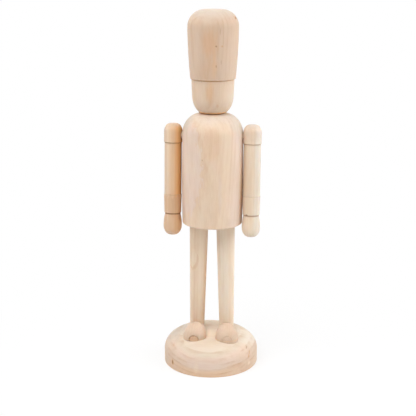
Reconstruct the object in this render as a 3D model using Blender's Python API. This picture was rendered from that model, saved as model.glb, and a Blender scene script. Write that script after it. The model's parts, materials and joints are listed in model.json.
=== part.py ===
"""Wooden soldier figure of the nutcracker kind, turned from pale wood and left unpainted.

Metres, +Z up. The origin is the middle of the base's underside.
The figure looks along -Y, so its own right side is at -X.
"""
import math

import bmesh
import bpy

MM = 0.001

# Base: a thick disc with a broad rounded upper edge
BASE_RADIUS = 24.8 * MM
BASE_HEIGHT = 16.0 * MM
BASE_EDGE_WIDTH = 11.4 * MM
BASE_EDGE_DROP = 9.0 * MM
BASE_UNDER_BEVEL = 0.4 * MM

# Legs: tapered turnings that stand behind the middle of the base and splay outward
FIGURE_SETBACK = 4.5 * MM
LEG_LENGTH = 58.65 * MM
LEG_HIP_RADIUS = 4.92 * MM
LEG_ANKLE_RADIUS = 3.85 * MM
HIP_SPREAD = 7.0 * MM
ANKLE_SPREAD = 7.97 * MM

# Feet: each one half of a turned egg, sawn along its axis and laid flat, blunt end forward.
# They were set by hand: each turn is outward from the figure's own forward direction.
FOOT_RADIUS = 5.95 * MM
FOOT_BALL_REACH = 10.45 * MM
FOOT_TOE_LENGTH = 5.2 * MM
FOOT_HEEL_LENGTH = 15.5 * MM
FOOT_HEEL_WRAP = 0.8 * MM
FOOT_RING_RADIUS = 2.7 * MM
FOOT_RING_WIDTH = 0.5 * MM
FOOT_RING_DEPTH = 0.35 * MM
RIGHT_FOOT_TURN = math.radians(-1.6)
LEFT_FOOT_TURN = math.radians(5.7)

# Torso: a long body, slightly fuller at half height, with domed shoulders and a flat neck seat
TORSO_HEIGHT = 57.75 * MM
TORSO_CHEST_RADIUS = 15.55 * MM
TORSO_HEM_RADIUS = 15.6 * MM
TORSO_BULGE = 0.2 * MM
TORSO_NECK_RADIUS = 6.0 * MM
TORSO_SHOULDER_DROP = 10.3 * MM
TORSO_HEM_BEVEL = 0.5 * MM

# Head and hat: one turning
HEAD_HEIGHT = 17.2 * MM
HEAD_RADIUS = 10.92 * MM
HEAD_TAPER = 0.29 * MM
HEAD_JAW_LEVEL = 9.2 * MM
HEAD_JAW_WIDTH = 6.6 * MM
HEAD_JAW_DROP = 9.95 * MM
HAT_HEIGHT = 34.5 * MM
HAT_CROWN_RADIUS = 12.93 * MM
HAT_CROWN_WIDTH = 8.7 * MM
HAT_CROWN_DROP = 8.45 * MM
HAT_BRIM_STEP = 0.65 * MM
HAT_BRIM_ROUND = 0.5 * MM
HAT_FLARE_POWER = 1.66

# Arms: shoulder cap, sleeve, cuff, wrist groove and hand in one turning
ARM_RADIUS = 4.45 * MM
ARM_CAP_STEP = 0.32 * MM
ARM_CAP_LENGTH = 9.8 * MM
ARM_CAP_DOME = 4.2 * MM
ARM_CAP_FLAT_RADIUS = 1.5 * MM
ARM_SLEEVE_LENGTH = 27.2 * MM
ARM_CUFF_STEP = 0.16 * MM
ARM_CUFF_TAPER = 0.2 * MM
ARM_CUFF_LENGTH = 9.6 * MM
ARM_WRIST_DEPTH = 0.4 * MM
ARM_WRIST_WIDTH = 0.6 * MM
ARM_HAND_STEP = 0.35 * MM
ARM_HAND_LENGTH = 11.2 * MM
ARM_HAND_TIP = 5.0 * MM
ARM_HAND_FLAT_RADIUS = 1.4 * MM

# Where the arms hang: pivot below the arm's top, pivot below the torso's top, gaps to the torso,
# and how far they are swung forward
ARM_PIVOT_DEPTH = 6.0 * MM
SHOULDER_LEVEL = 11.6 * MM
SHOULDER_GAP = 0.15 * MM
HAND_GAP = 0.15 * MM
ARM_SWING = math.radians(4)

# Dowels and the holes that take them
LEG_PIN_RADIUS = 2.0 * MM
HIP_PIN_DEPTH = 6.0 * MM
ANKLE_PIN_DEPTH = 6.0 * MM
NECK_PIN_RADIUS = 3.0 * MM
NECK_PIN_DEPTH = 8.0 * MM
SHOULDER_PIN_RADIUS = 2.0 * MM
SHOULDER_PIN_IN_TORSO = 8.0 * MM
SHOULDER_PIN_IN_ARM = 5.0 * MM
PIN_BEVEL = 0.4 * MM

# Fits: between faces that seat on each other, and around a pin in its hole
SEAT_GAP = 0.3 * MM
PIN_CLEARANCE = 0.3 * MM

# Facets around the turnings
LARGE_SEGMENTS = 48
ARM_SEGMENTS = 32
LEG_SEGMENTS = 32
FOOT_SEGMENTS = 20
PIN_SEGMENTS = 20
MERGE_DISTANCE = 0.001 * MM
SHARP_ANGLE = math.radians(30)

# Worked out from the sizes above
LEG_SPLAY = math.asin((ANKLE_SPREAD - HIP_SPREAD) / LEG_LENGTH)
LEG_FOOT_LEVEL = BASE_HEIGHT + SEAT_GAP
TORSO_LEVEL = LEG_FOOT_LEVEL + LEG_LENGTH * math.cos(LEG_SPLAY) + SEAT_GAP
HEAD_LEVEL = TORSO_LEVEL + TORSO_HEIGHT + SEAT_GAP
ARM_CAP_RADIUS = ARM_RADIUS + ARM_CAP_STEP
ARM_HAND_RADIUS = ARM_RADIUS + ARM_HAND_STEP
ARM_HAND_TOP = ARM_CAP_LENGTH + ARM_SLEEVE_LENGTH + ARM_CUFF_LENGTH + ARM_WRIST_WIDTH
ARM_KNUCKLE_DEPTH = ARM_HAND_TOP + ARM_HAND_LENGTH - ARM_HAND_TIP

# Linear colour of the wood of each turning, pale maple to warmer tan
WOOD = {
    "base": (0.80, 0.63, 0.49),
    "foot": (0.79, 0.61, 0.46),
    "right_leg": (0.72, 0.54, 0.40),
    "left_leg": (0.75, 0.60, 0.46),
    "torso": (0.77, 0.59, 0.45),
    "head": (0.71, 0.50, 0.36),
    "right_arm": (0.70, 0.47, 0.30),
    "left_arm": (0.80, 0.65, 0.50),
    "dowel": (0.78, 0.62, 0.45),
}
WOOD_ROUGHNESS = 0.55


def clear_scene():
    for item in list(bpy.data.objects):
        bpy.data.objects.remove(item, do_unlink=True)


def wood_material(name, colour):
    material = bpy.data.materials.new(name + "_wood")
    material.use_nodes = True
    shader = material.node_tree.nodes["Principled BSDF"]
    shader.inputs["Base Color"].default_value = (*colour, 1.0)
    shader.inputs["Roughness"].default_value = WOOD_ROUGHNESS
    shader.inputs["Metallic"].default_value = 0.0
    return material


def ellipse_arc(centre_r, centre_z, width, height, start, end, steps):
    """Points of an elliptical arc in the (radius, height) plane, angles in degrees."""
    points = []
    for step in range(steps + 1):
        angle = math.radians(start + (end - start) * step / steps)
        points.append((centre_r + width * math.cos(angle), centre_z + height * math.sin(angle)))
    return points


def corner_round(start, corner, end, steps):
    """Points of a smooth curve that leaves start and reaches end along the two sides of a corner."""
    points = []
    for step in range(steps + 1):
        t = step / steps
        weights = ((1 - t) ** 2, 2 * t * (1 - t), t ** 2)
        radius = weights[0] * start[0] + weights[1] * corner[0] + weights[2] * end[0]
        height = weights[0] * start[1] + weights[1] * corner[1] + weights[2] * end[1]
        points.append((radius, height))
    return points


def add_object(name, mesh_source, parent=None, colour=None):
    """Make an object from a bmesh, shaded smooth apart from its real edges."""
    bmesh.ops.remove_doubles(mesh_source, verts=mesh_source.verts, dist=MERGE_DISTANCE)
    bmesh.ops.recalc_face_normals(mesh_source, faces=mesh_source.faces)
    mesh = bpy.data.meshes.new(name)
    mesh_source.to_mesh(mesh)
    mesh_source.free()
    mesh.shade_smooth()
    mesh.set_sharp_from_angle(angle=SHARP_ANGLE)
    item = bpy.data.objects.new(name, mesh)
    bpy.context.collection.objects.link(item)
    item.parent = parent
    if colour:
        mesh.materials.append(wood_material(name, WOOD[colour]))
    return item


def spin_outline(outline, segments, axis=(0, 0, 1), angle=2 * math.pi):
    """Turn an outline of points about an axis through the origin."""
    source = bmesh.new()
    verts = [source.verts.new(point) for point in outline]
    edges = [source.edges.new(pair) for pair in zip(verts, verts[1:])]
    full_turn = angle == 2 * math.pi
    bmesh.ops.spin(source, geom=verts + edges, cent=(0, 0, 0), axis=axis, angle=angle,
                   steps=segments, use_merge=full_turn)
    return source


def turned(name, outline, segments, parent=None, colour=None):
    """A turning about Z; the outline runs from its top centre down the outside to its bottom centre."""
    source = spin_outline([(radius, 0, height) for radius, height in outline], segments)
    return add_object(name, source, parent, colour)


def place_holder(name, location, rotation=(0, 0, 0), parent=None):
    empty = bpy.data.objects.new(name, None)
    empty.location = location
    empty.rotation_euler = rotation
    empty.parent = parent
    bpy.context.collection.objects.link(empty)
    return empty


def cut(target, cutter):
    """Take a cutter's volume out of a target; the cutter itself is only a guide."""
    cutter.hide_render = True
    cutter.display_type = 'WIRE'
    boolean = target.modifiers.new(cutter.name, 'BOOLEAN')
    boolean.operation = 'DIFFERENCE'
    boolean.solver = 'EXACT'
    boolean.object = cutter


def pin(name, radius, low, high, parent, colour="dowel"):
    """A dowel along its parent's Z axis, with bevelled ends."""
    outline = [
        (0, high),
        (radius - PIN_BEVEL, high),
        (radius, high - PIN_BEVEL),
        (radius, low + PIN_BEVEL),
        (radius - PIN_BEVEL, low),
        (0, low),
    ]
    return turned(name, outline, PIN_SEGMENTS, parent, colour)


def pin_hole(name, radius, low, high, parent):
    """The bore for a dowel that spans low to high, with room around it and at its ends."""
    bore = radius + PIN_CLEARANCE
    outline = [
        (0, high + PIN_CLEARANCE),
        (bore, high + PIN_CLEARANCE),
        (bore, low - PIN_CLEARANCE),
        (0, low - PIN_CLEARANCE),
    ]
    return turned(name, outline, PIN_SEGMENTS, parent)


def base_outline():
    flat_radius = BASE_RADIUS - BASE_EDGE_WIDTH
    edge_level = BASE_HEIGHT - BASE_EDGE_DROP
    outline = [(0, BASE_HEIGHT)]
    outline += ellipse_arc(flat_radius, edge_level, BASE_EDGE_WIDTH, BASE_EDGE_DROP, 90, 0, 8)
    outline += [(BASE_RADIUS, BASE_UNDER_BEVEL), (BASE_RADIUS - BASE_UNDER_BEVEL, 0), (0, 0)]
    return outline


def leg_outline(allowance=0.0):
    """The leg's taper; an allowance widens it for the notch in the foot."""
    low = -allowance
    slope = (LEG_HIP_RADIUS - LEG_ANKLE_RADIUS) / LEG_LENGTH
    return [
        (0, LEG_LENGTH),
        (LEG_HIP_RADIUS + allowance, LEG_LENGTH),
        (LEG_ANKLE_RADIUS + allowance + slope * low, low),
        (0, low),
    ]


def torso_outline():
    dome_level = TORSO_HEIGHT - TORSO_SHOULDER_DROP
    dome_width = TORSO_CHEST_RADIUS - TORSO_NECK_RADIUS
    outline = [(0, TORSO_HEIGHT)]
    outline += ellipse_arc(TORSO_NECK_RADIUS, dome_level, dome_width, TORSO_SHOULDER_DROP, 90, 0, 8)
    steps = 6
    for step in range(1, steps + 1):
        share = step / steps
        straight = TORSO_CHEST_RADIUS + (TORSO_HEM_RADIUS - TORSO_CHEST_RADIUS) * share
        level = dome_level + (TORSO_HEM_BEVEL - dome_level) * share
        outline.append((straight + 4 * TORSO_BULGE * share * (1 - share), level))
    outline += [(TORSO_HEM_RADIUS - TORSO_HEM_BEVEL, 0), (0, 0)]
    return outline


def hat_outline():
    """Crown, flared wall and rounded lower edge of the hat, down to where the head begins."""
    top = HEAD_HEIGHT + HAT_HEIGHT
    crown_level = top - HAT_CROWN_DROP
    crown_flat = HAT_CROWN_RADIUS - HAT_CROWN_WIDTH
    brim_radius = HEAD_RADIUS + HAT_BRIM_STEP
    round_level = HEAD_HEIGHT + HAT_BRIM_ROUND
    wall_steps = 5
    outline = [(0, top)]
    outline += ellipse_arc(crown_flat, crown_level, HAT_CROWN_WIDTH, HAT_CROWN_DROP, 90, 0, 8)
    for step in range(1, wall_steps):
        share = step / wall_steps
        radius = HAT_CROWN_RADIUS - (HAT_CROWN_RADIUS - brim_radius) * share ** HAT_FLARE_POWER
        outline.append((radius, crown_level + (round_level - crown_level) * share))
    round_centre = brim_radius - HAT_BRIM_ROUND
    outline += ellipse_arc(round_centre, round_level, HAT_BRIM_ROUND, HAT_BRIM_ROUND, 0, -90, 3)
    return outline


def head_outline():
    """Head from the hat's edge down the round jaw to the flat chin."""
    jaw_radius = HEAD_RADIUS - HEAD_TAPER
    jaw_centre = jaw_radius - HEAD_JAW_WIDTH
    chin_angle = math.degrees(math.asin(HEAD_JAW_LEVEL / HEAD_JAW_DROP))
    jaw = ellipse_arc(jaw_centre, HEAD_JAW_LEVEL, HEAD_JAW_WIDTH, HEAD_JAW_DROP, 0, -chin_angle, 6)
    return [(HEAD_RADIUS, HEAD_HEIGHT)] + jaw + [(0, 0)]


def arm_outline():
    """The arm from the top of its cap to the tip of its hand, heights from the pivot."""
    dome_width = ARM_CAP_RADIUS - ARM_CAP_FLAT_RADIUS
    cap_end = ARM_CAP_LENGTH
    cuff_start = cap_end + ARM_SLEEVE_LENGTH
    cuff_end = cuff_start + ARM_CUFF_LENGTH
    cuff_radius = ARM_RADIUS + ARM_CUFF_STEP
    wrist_radius = ARM_RADIUS - ARM_WRIST_DEPTH
    knuckle_width = ARM_HAND_RADIUS - ARM_HAND_FLAT_RADIUS
    wrist = (wrist_radius, -ARM_HAND_TOP)
    shoulder_of_hand = (ARM_HAND_RADIUS, -(ARM_HAND_TOP + ARM_KNUCKLE_DEPTH) / 2)
    knuckle = (ARM_HAND_RADIUS, -ARM_KNUCKLE_DEPTH)
    outline = [(0, 0)]
    outline += ellipse_arc(ARM_CAP_FLAT_RADIUS, -ARM_CAP_DOME, dome_width, ARM_CAP_DOME, 90, 0, 5)
    outline += [
        (ARM_CAP_RADIUS, -cap_end),
        (ARM_RADIUS, -cap_end),
        (ARM_RADIUS, -cuff_start),
        (cuff_radius, -cuff_start),
        (cuff_radius - ARM_CUFF_TAPER, -cuff_end),
        (wrist_radius, -cuff_end),
    ]
    outline += corner_round(wrist, shoulder_of_hand, knuckle, 4)
    outline += ellipse_arc(ARM_HAND_FLAT_RADIUS, -ARM_KNUCKLE_DEPTH, knuckle_width, ARM_HAND_TIP, 0, -90, 5)[1:]
    outline.append((0, -ARM_HAND_TOP - ARM_HAND_LENGTH))
    return [(radius, height + ARM_PIVOT_DEPTH) for radius, height in outline]


def foot_outline():
    """Half the outline of the egg as (radius, reach); reach is measured forward from the leg's axis."""
    ball = LEG_ANKLE_RADIUS + FOOT_BALL_REACH
    heel = LEG_ANKLE_RADIUS - FOOT_HEEL_WRAP
    heel_angle = math.degrees(math.acos((ball - heel) / FOOT_HEEL_LENGTH))
    ring_outer = math.degrees(math.acos(FOOT_RING_RADIUS / FOOT_RADIUS))
    ring_inner = math.degrees(math.acos((FOOT_RING_RADIUS - FOOT_RING_WIDTH) / FOOT_RADIUS))
    heel_side = ellipse_arc(0, ball, FOOT_RADIUS, FOOT_HEEL_LENGTH, heel_angle - 90, 0, 6)
    toe_side = ellipse_arc(0, ball, FOOT_RADIUS, FOOT_TOE_LENGTH, 0, ring_outer, 6)
    nose = ellipse_arc(0, ball, FOOT_RADIUS, FOOT_TOE_LENGTH, ring_inner, 90, 3)
    ring_floor = (FOOT_RING_RADIUS - FOOT_RING_WIDTH / 2, toe_side[-1][1] - FOOT_RING_DEPTH)
    return [(0, heel)] + heel_side + toe_side[1:] + [ring_floor] + nose


def half_egg(name, parent, colour):
    """Turn the egg's outline through half a turn and close the sawn face below it."""
    outline = [(radius, -reach, 0) for radius, reach in foot_outline()]
    source = spin_outline(outline, FOOT_SEGMENTS, axis=(0, -1, 0), angle=math.pi)
    bmesh.ops.remove_doubles(source, verts=source.verts, dist=MERGE_DISTANCE)
    rim = [edge for edge in source.edges if edge.is_boundary]
    bmesh.ops.holes_fill(source, edges=rim)
    return add_object(name, source, parent, colour)


def build_leg(side_name, side, foot_turn, base, torso):
    """Leg, its two dowels and the foot in front of it; side is -1 for the figure's right, 1 for its left."""
    ankle = (side * ANKLE_SPREAD, FIGURE_SETBACK, LEG_FOOT_LEVEL)
    axis = place_holder(side_name + "_leg_axis", ankle, (0, -side * LEG_SPLAY, 0))
    leg = turned(side_name + "_leg", leg_outline(), LEG_SEGMENTS, axis, side_name + "_leg")

    ankle_span = (-ANKLE_PIN_DEPTH, ANKLE_PIN_DEPTH)
    pin(side_name + "_ankle_dowel", LEG_PIN_RADIUS, *ankle_span, axis)
    ankle_hole = pin_hole(side_name + "_ankle_hole", LEG_PIN_RADIUS, *ankle_span, axis)
    cut(leg, ankle_hole)
    cut(base, ankle_hole)

    hip_span = (LEG_LENGTH - HIP_PIN_DEPTH, LEG_LENGTH + HIP_PIN_DEPTH)
    pin(side_name + "_hip_dowel", LEG_PIN_RADIUS, *hip_span, axis)
    hip_hole = pin_hole(side_name + "_hip_hole", LEG_PIN_RADIUS, *hip_span, axis)
    cut(leg, hip_hole)
    cut(torso, hip_hole)

    foot_place = place_holder(side_name + "_foot_place", ankle, (0, 0, side * foot_turn))
    foot = half_egg(side_name + "_foot", foot_place, "foot")
    notch = turned(side_name + "_leg_notch", leg_outline(SEAT_GAP), LEG_SEGMENTS, axis)
    cut(foot, notch)


def build_arm(side_name, side, torso):
    """Arm on its dowel; the arm hangs from the gap at its cap to the gap at its hand."""
    shoulder_reach = TORSO_CHEST_RADIUS + SHOULDER_GAP + ARM_CAP_RADIUS
    hand_reach = TORSO_HEM_RADIUS + HAND_GAP + ARM_HAND_RADIUS
    hand_drop = ARM_KNUCKLE_DEPTH - ARM_PIVOT_DEPTH
    lean = side * math.asin((shoulder_reach - hand_reach) / hand_drop)
    pivot = (side * shoulder_reach, FIGURE_SETBACK, TORSO_LEVEL + TORSO_HEIGHT - SHOULDER_LEVEL)
    shoulder = place_holder(side_name + "_shoulder_axis", pivot, (-ARM_SWING, 0, 0))
    arm = turned(side_name + "_arm", arm_outline(), ARM_SEGMENTS, shoulder, side_name + "_arm")
    arm.rotation_euler = (0, lean, 0)

    inward = place_holder(side_name + "_dowel_axis", (0, 0, 0), (0, -side * math.pi / 2, 0), shoulder)
    in_arm = SHOULDER_PIN_IN_ARM - ARM_CAP_RADIUS
    in_torso = ARM_CAP_RADIUS + SHOULDER_GAP + SHOULDER_PIN_IN_TORSO
    pin(side_name + "_shoulder_dowel", SHOULDER_PIN_RADIUS, -in_arm, in_torso, inward)
    hole = pin_hole(side_name + "_shoulder_hole", SHOULDER_PIN_RADIUS, -in_arm, in_torso, inward)
    cut(arm, hole)
    cut(torso, hole)


def build_figure():
    clear_scene()
    base = turned("base", base_outline(), LARGE_SEGMENTS, None, "base")

    body = place_holder("body_axis", (0, FIGURE_SETBACK, TORSO_LEVEL))
    torso = turned("torso", torso_outline(), LARGE_SEGMENTS, body, "torso")
    build_leg("right", -1, RIGHT_FOOT_TURN, base, torso)
    build_leg("left", 1, LEFT_FOOT_TURN, base, torso)

    neck = place_holder("neck_axis", (0, FIGURE_SETBACK, HEAD_LEVEL))
    head = turned("head_and_hat", hat_outline() + head_outline(), LARGE_SEGMENTS, neck, "head")
    neck_span = (-NECK_PIN_DEPTH, NECK_PIN_DEPTH)
    pin("neck_dowel", NECK_PIN_RADIUS, *neck_span, neck)
    neck_hole = pin_hole("neck_hole", NECK_PIN_RADIUS, *neck_span, neck)
    cut(head, neck_hole)
    cut(torso, neck_hole)

    build_arm("right", -1, torso)
    build_arm("left", 1, torso)


build_figure()
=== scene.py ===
"""Looks of the wooden soldier figure: fine turnings, bare sanded wood and studio light.

Metres, +Z up. The figure looks along -Y, so its own right side is at -X.
"""
import json
import math
from collections import namedtuple

import bmesh
import bpy
from mathutils import Matrix, Vector, noise


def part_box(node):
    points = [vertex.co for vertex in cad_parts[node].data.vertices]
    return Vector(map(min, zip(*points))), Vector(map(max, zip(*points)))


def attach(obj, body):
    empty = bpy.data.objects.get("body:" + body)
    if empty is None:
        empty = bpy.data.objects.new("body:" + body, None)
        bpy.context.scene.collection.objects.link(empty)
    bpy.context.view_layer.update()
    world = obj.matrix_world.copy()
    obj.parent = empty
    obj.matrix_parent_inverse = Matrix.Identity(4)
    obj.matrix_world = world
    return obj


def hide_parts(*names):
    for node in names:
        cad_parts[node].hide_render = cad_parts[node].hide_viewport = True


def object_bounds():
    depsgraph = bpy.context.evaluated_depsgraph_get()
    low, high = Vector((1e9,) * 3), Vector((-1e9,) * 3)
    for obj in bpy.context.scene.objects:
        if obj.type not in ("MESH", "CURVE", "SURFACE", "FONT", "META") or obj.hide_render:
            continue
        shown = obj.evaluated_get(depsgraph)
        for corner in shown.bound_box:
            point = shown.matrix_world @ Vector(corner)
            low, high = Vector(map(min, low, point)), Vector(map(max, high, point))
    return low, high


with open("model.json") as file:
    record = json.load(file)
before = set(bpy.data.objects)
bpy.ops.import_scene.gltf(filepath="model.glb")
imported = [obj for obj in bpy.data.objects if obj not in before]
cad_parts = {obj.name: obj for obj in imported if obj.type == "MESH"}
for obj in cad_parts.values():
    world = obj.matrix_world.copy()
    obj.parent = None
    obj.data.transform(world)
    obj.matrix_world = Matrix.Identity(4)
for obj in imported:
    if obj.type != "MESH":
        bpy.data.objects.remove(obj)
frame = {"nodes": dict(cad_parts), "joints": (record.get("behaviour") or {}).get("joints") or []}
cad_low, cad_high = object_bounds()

MM = 0.001

# Camera, fitted to the base, the hem, the hat's edge and the crown
IMAGE_WIDTH = 416
SENSOR = 36.0
FOCAL_PIXELS = 932.5
CAMERA_REACH = 468.9 * MM
CAMERA_HEIGHT = 204.1 * MM
CAMERA_SIDE = -1.8 * MM
CAMERA_AZIMUTH = math.radians(6.25)
CAMERA_TILT = math.radians(14.36)
CAMERA_ROLL = math.radians(0.20)
CAMERA_NEAR = 0.01
CAMERA_FAR = 20

# Details of the turnings that the frame's boxes don't give. They are as in the solids, apart from
# the torso's slightly fuller bulge, the shallower ring on the left foot and the soles of the feet.
BASE_EDGE_WIDTH = 11.4 * MM
BASE_EDGE_DROP = 9.0 * MM
BASE_UNDER_BEVEL = 0.4 * MM
LEG_ANKLE_RADIUS = 3.85 * MM
LEG_HIP_RADIUS = 4.92 * MM
LEG_LENGTH = 58.65 * MM
HIP_SPREAD = 7.0 * MM
ANKLE_SPREAD = 7.97 * MM
FOOT_RADIUS = 5.95 * MM
FOOT_BALL_REACH = 14.3 * MM
FOOT_TOE_LENGTH = 5.2 * MM
FOOT_HEEL_LENGTH = 15.5 * MM
FOOT_HEEL_REACH = 3.05 * MM
FOOT_RING_RADIUS = 2.7 * MM
FOOT_RING_WIDTH = 0.5 * MM
RIGHT_FOOT_RING_DEPTH = 0.35 * MM
LEFT_FOOT_RING_DEPTH = 0.15 * MM
RIGHT_FOOT_TURN = math.radians(-1.6)
LEFT_FOOT_TURN = math.radians(5.7)
TORSO_CHEST_RADIUS = 15.55 * MM
TORSO_HEM_RADIUS = 15.6 * MM
TORSO_BULGE = 0.28 * MM
TORSO_NECK_RADIUS = 6.0 * MM
TORSO_SHOULDER_DROP = 10.3 * MM
TORSO_HEM_BEVEL = 0.5 * MM
HEAD_HEIGHT = 17.2 * MM
HEAD_RADIUS = 10.92 * MM
HEAD_TAPER = 0.29 * MM
HEAD_JAW_LEVEL = 9.2 * MM
HEAD_JAW_WIDTH = 6.6 * MM
HEAD_JAW_DROP = 9.95 * MM
HAT_CROWN_WIDTH = 8.7 * MM
HAT_CROWN_DROP = 8.45 * MM
HAT_BRIM_STEP = 0.65 * MM
HAT_BRIM_ROUND = 0.5 * MM
HAT_FLARE_POWER = 1.66
ARM_RADIUS = 4.45 * MM
ARM_CAP_STEP = 0.32 * MM
ARM_CAP_LENGTH = 9.8 * MM
ARM_CAP_DOME = 4.2 * MM
ARM_CAP_FLAT_RADIUS = 1.5 * MM
ARM_SLEEVE_LENGTH = 27.2 * MM
ARM_CUFF_STEP = 0.16 * MM
ARM_CUFF_TAPER = 0.2 * MM
ARM_CUFF_LENGTH = 9.6 * MM
ARM_WRIST_DEPTH = 0.4 * MM
ARM_WRIST_WIDTH = 0.6 * MM
ARM_HAND_STEP = 0.35 * MM
ARM_HAND_LENGTH = 11.2 * MM
ARM_HAND_TIP = 5.0 * MM
ARM_HAND_FLAT_RADIUS = 1.4 * MM
ARM_PIVOT_DEPTH = 6.0 * MM
ARM_SWING = math.radians(4)
HAND_GAP = 0.15 * MM
LEG_PIN_RADIUS = 2.0 * MM
LEG_PIN_DEPTH = 6.0 * MM
SEAT_GAP = 0.3 * MM
PIN_CLEARANCE = 0.3 * MM

# The soles follow the base's top and go a hair into it. Points of a foot below the sole's level
# belong to the sole, and the notch for the leg goes right through it.
FOOT_SOLE_SINK = 0.05 * MM
FOOT_SOLE_LEVEL = 0.01 * MM
FOOT_NOTCH_BELOW = 2.0 * MM

# Scored lines: where the hat meets the head, and at the arm's cap, cuff and wrist
BRIM_LINE_DEPTH = 0.22 * MM
BRIM_LINE_WIDTH = 0.35 * MM
ARM_LINE_DEPTH = 0.20 * MM
ARM_LINE_WIDTH = 0.30 * MM
CUFF_LINE_DEPTH = 0.10 * MM

# Fineness of the meshes
LARGE_SEGMENTS = 160
SMALL_SEGMENTS = 96
HOLE_SEGMENTS = 48
ARC_STEPS = 24
BASE_EDGE_STEPS = 40
BRIM_STEPS = 8
CORNER_STEPS = 4
CURVE_STEPS = 12
DOME_STEPS = 32
NOSE_STEPS = 10
WALL_STEPS = 24
OUTLINE_STEP = 0.8 * MM
FOOT_OUTLINE_STEP = 0.5 * MM
EDGE_SOFTNESS = 0.18 * MM
ARM_EDGE_SOFTNESS = 0.12 * MM
FOOT_EDGE_SOFTNESS = 0.1 * MM
CORNER_ANGLE = math.radians(25)
CORNER_SHARE = 0.45
SHORTEST_STRETCH = 1e-7
SANDING_DEPTH = 0.035 * MM
SANDING_SPAN = 9.0 * MM
SMOOTH_ANGLE = math.radians(50)


def box_size(node):
    low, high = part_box(node)
    return high - low


def box_middle(node):
    low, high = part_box(node)
    return (low + high) / 2


# Outlines are lists of (radius, height) points that run down the outside from the top centre.


def ellipse_arc(centre_r, centre_z, width, height, start, end, steps=ARC_STEPS):
    """Points of an elliptical arc, angles in degrees."""
    points = []
    for step in range(steps + 1):
        angle = math.radians(start + (end - start) * step / steps)
        points.append((centre_r + width * math.cos(angle), centre_z + height * math.sin(angle)))
    return points


def corner_round(start, corner, end, steps=CURVE_STEPS):
    """Points of a smooth curve that leaves start and reaches end along the two sides of a corner."""
    points = []
    for step in range(steps + 1):
        t = step / steps
        weights = ((1 - t) ** 2, 2 * t * (1 - t), t ** 2)
        points.append(tuple(sum(w * p[i] for w, p in zip(weights, (start, corner, end))) for i in (0, 1)))
    return points


def between(start, end, share):
    return tuple(a + (b - a) * share for a, b in zip(start, end))


def softened(outline, softness=EDGE_SOFTNESS):
    """Round every real corner of an outline a little, as sanding does."""
    soft = [outline[0]]
    for before, corner, after in zip(outline, outline[1:], outline[2:]):
        into = Vector(corner) - Vector(before)
        away = Vector(after) - Vector(corner)
        if min(into.length, away.length) < SHORTEST_STRETCH or into.angle(away) < CORNER_ANGLE:
            soft.append(corner)
            continue
        reach = min(softness, CORNER_SHARE * into.length, CORNER_SHARE * away.length)
        start = tuple(Vector(corner) - into.normalized() * reach)
        end = tuple(Vector(corner) + away.normalized() * reach)
        soft += corner_round(start, corner, end, CORNER_STEPS)
    return soft + [outline[-1]]


def refined(outline, step=OUTLINE_STEP):
    """Add points along the long stretches of an outline."""
    fine = [outline[0]]
    for start, end in zip(outline, outline[1:]):
        count = max(1, math.ceil(math.dist(start, end) / step))
        fine += [between(start, end, i / count) for i in range(1, count + 1)]
    return fine


def bored(outline, radius, depth, top=False, bottom=False):
    """Replace the flat centre of an end by a blind hole on the axis."""
    if top:
        level = outline[0][1]
        outline = [(0, level - depth), (radius, level - depth), (radius, level)] + outline[1:]
    if bottom:
        level = outline[-1][1]
        outline = outline[:-1] + [(radius, level), (radius, level + depth), (0, level + depth)]
    return outline


def base_outline(radius, height):
    edge = ellipse_arc(radius - BASE_EDGE_WIDTH, height - BASE_EDGE_DROP,
                       BASE_EDGE_WIDTH, BASE_EDGE_DROP, 90, 0, BASE_EDGE_STEPS)
    foot = [(radius, BASE_UNDER_BEVEL), (radius - BASE_UNDER_BEVEL, 0), (0, 0)]
    return [(0, height)] + edge + foot


def leg_outline(allowance=0.0, below=0.0):
    slope = (LEG_HIP_RADIUS - LEG_ANKLE_RADIUS) / LEG_LENGTH
    return [
        (0, LEG_LENGTH),
        (LEG_HIP_RADIUS + allowance, LEG_LENGTH),
        (LEG_ANKLE_RADIUS + allowance - slope * below, -below),
        (0, -below),
    ]


def torso_outline(height):
    dome_level = height - TORSO_SHOULDER_DROP
    dome_width = TORSO_CHEST_RADIUS - TORSO_NECK_RADIUS
    outline = [(0, height)]
    outline += ellipse_arc(TORSO_NECK_RADIUS, dome_level,
                           dome_width, TORSO_SHOULDER_DROP, 90, 0, DOME_STEPS)
    for step in range(1, WALL_STEPS + 1):
        share = step / WALL_STEPS
        straight = TORSO_CHEST_RADIUS + (TORSO_HEM_RADIUS - TORSO_CHEST_RADIUS) * share
        level = dome_level + (TORSO_HEM_BEVEL - dome_level) * share
        outline.append((straight + 4 * TORSO_BULGE * share * (1 - share), level))
    outline += [(TORSO_HEM_RADIUS - TORSO_HEM_BEVEL, 0), (0, 0)]
    return outline


def hat_outline(crown_radius, top):
    """Crown, flared wall and rounded lower edge of the hat, down to where the head begins."""
    crown_level = top - HAT_CROWN_DROP
    brim_radius = HEAD_RADIUS + HAT_BRIM_STEP
    round_level = HEAD_HEIGHT + HAT_BRIM_ROUND
    outline = [(0, top)]
    outline += ellipse_arc(crown_radius - HAT_CROWN_WIDTH, crown_level,
                           HAT_CROWN_WIDTH, HAT_CROWN_DROP, 90, 0, DOME_STEPS)
    for step in range(1, WALL_STEPS):
        share = step / WALL_STEPS
        radius = crown_radius - (crown_radius - brim_radius) * share ** HAT_FLARE_POWER
        outline.append((radius, crown_level + (round_level - crown_level) * share))
    outline += ellipse_arc(brim_radius - HAT_BRIM_ROUND, round_level,
                           HAT_BRIM_ROUND, HAT_BRIM_ROUND, 0, -90, BRIM_STEPS)
    return outline


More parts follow.
